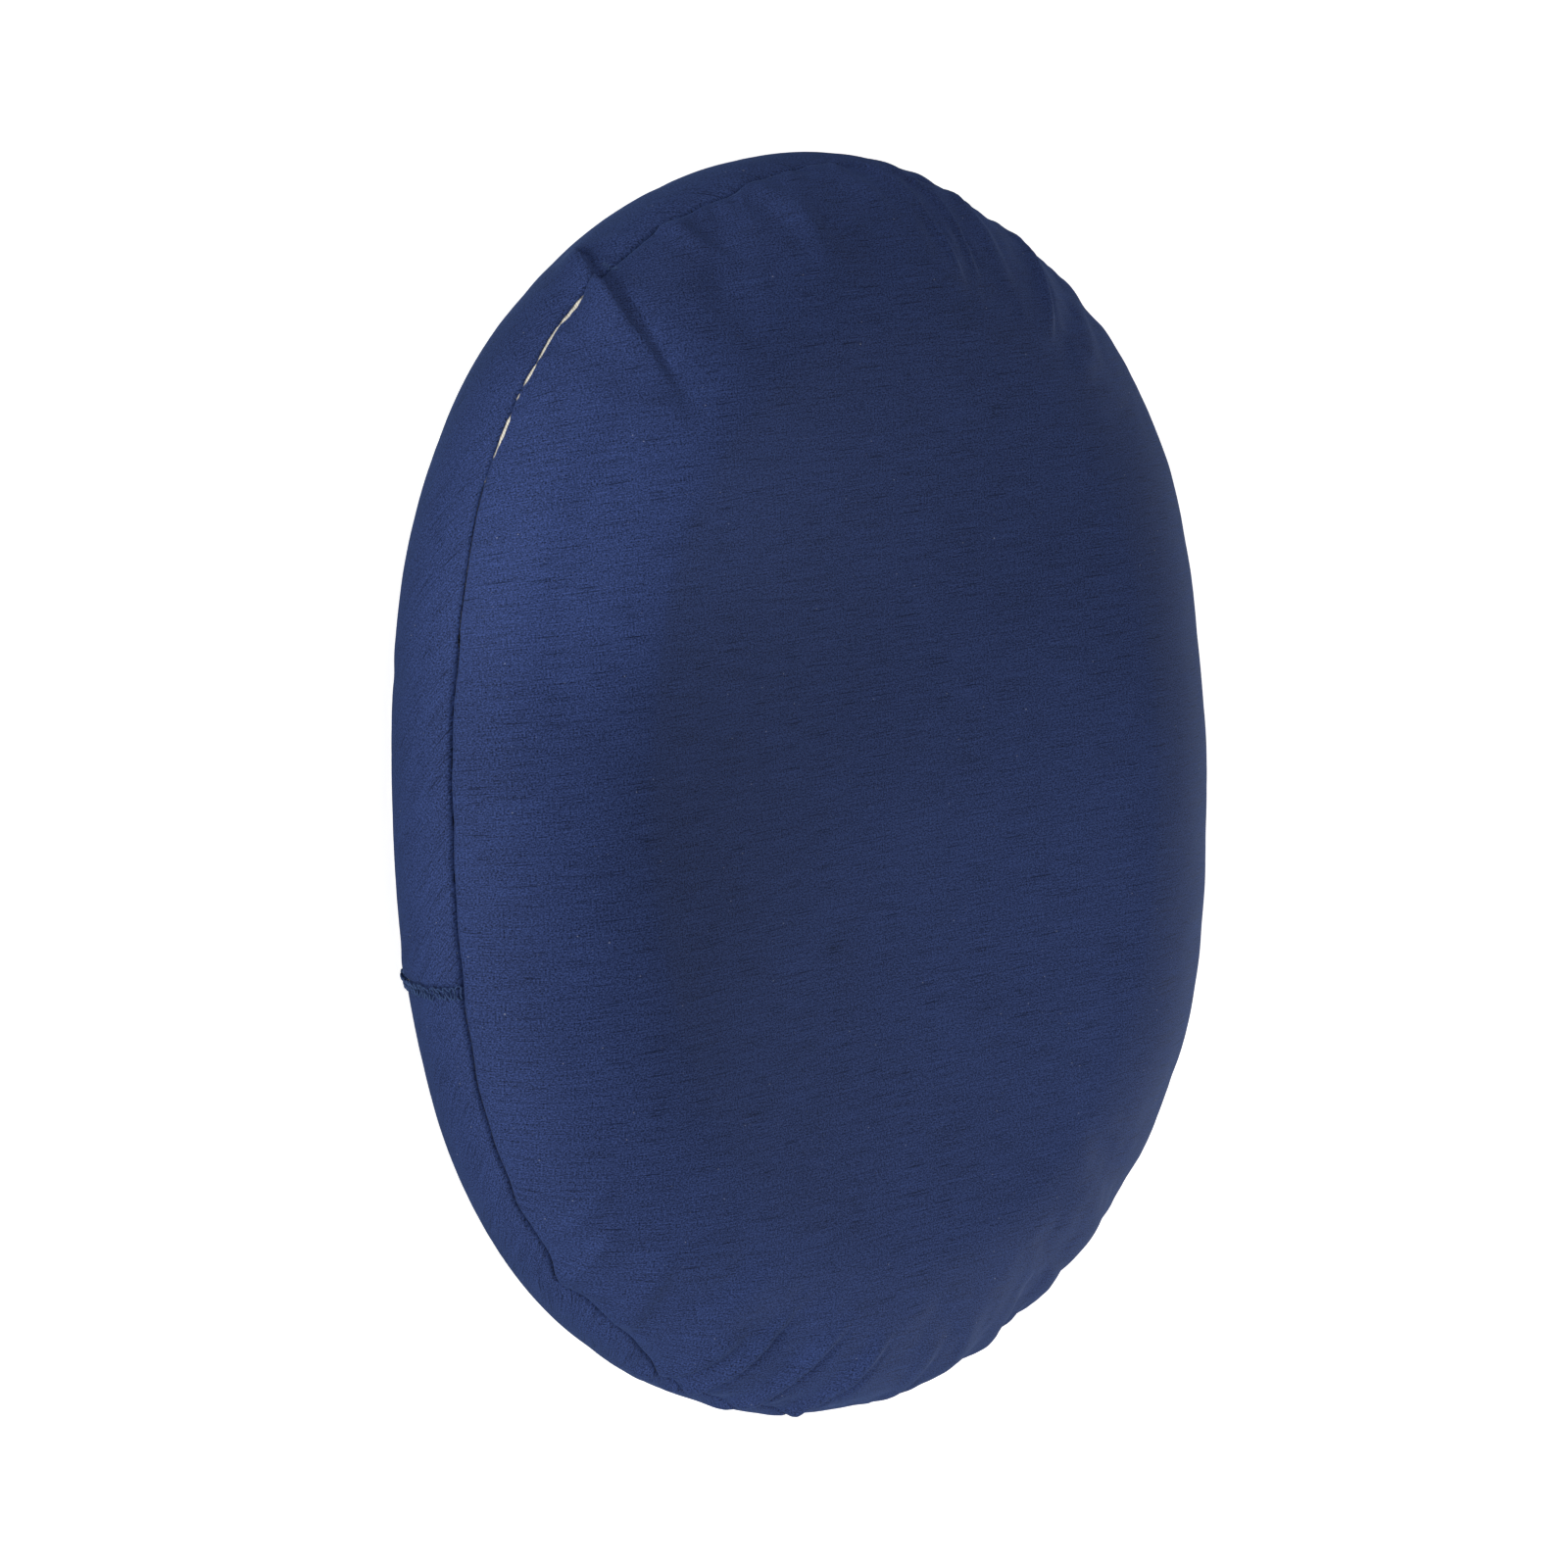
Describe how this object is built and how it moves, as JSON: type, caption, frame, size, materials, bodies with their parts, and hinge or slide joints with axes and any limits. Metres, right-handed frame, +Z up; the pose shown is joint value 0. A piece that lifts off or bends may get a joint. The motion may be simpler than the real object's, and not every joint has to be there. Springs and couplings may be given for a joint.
{
  "type": "ring seat cushion",
  "caption": "Oval ring seat cushion: a moulded foam ring inside a zip-off boxed fabric cover with two flat-topped panels, a side band and a concealed side zip.",
  "frame": {"origin": "middle of the oval outline, on the underside that rests on the seat", "axes": "+Z up through the thickness, +Y along the longer side towards the zip's closed end, +X across the cushion away from the zip"},
  "size_m": [0.33, 0.4058, 0.076],
  "materials": {
    "cover_fabric": "matt plain weave, navy",
    "sewing_thread": "matt spun thread, navy",
    "foam": "matt open-cell moulded foam, cream",
    "zip_tape": "matt woven tape, off-white",
    "zip_coil": "satin nylon, off-white",
    "zip_metal": "satin nickel colour",
    "label": "matt woven ribbon, white"
  },
  "bodies": {
    "cushion": {"foam_ring": "foam", "cover_top_panel": "cover_fabric", "cover_bottom_panel": "cover_fabric", "side_band": "cover_fabric", "top_seam_thread": "sewing_thread", "bottom_seam_thread": "sewing_thread", "zip_stitching_panel": "sewing_thread", "zip_stitching_band": "sewing_thread", "band_join_overlock": "sewing_thread", "zip_end_bar_tack": "sewing_thread", "zip_tape_panel": "zip_tape", "zip_tape_band": "zip_tape", "zip_coil_panel": "zip_coil", "zip_coil_band": "zip_coil", "zip_end_stops": "zip_metal", "zip_bottom_stop": "zip_metal", "care_label": "label"},
    "slider": {"zip_slider": "zip_metal", "slider_pin": "zip_metal"},
    "tab": {"pull_tab": "zip_metal"}
  },
  "joints": [
    {"name": "slider_run", "type": "hinge", "parent": "cushion", "child": "slider", "pos_m": [0, 0.0418, 0.043], "axis": [0, 0, 1], "range_deg": [0, 40]},
    {"name": "tab_swing", "type": "hinge", "parent": "slider", "child": "tab", "pos_m": [-0.09497, 0.16702, 0.04234], "axis": [-0.2005, 0.2643, -0.9434], "range_deg": [0, 110]}
  ]
}
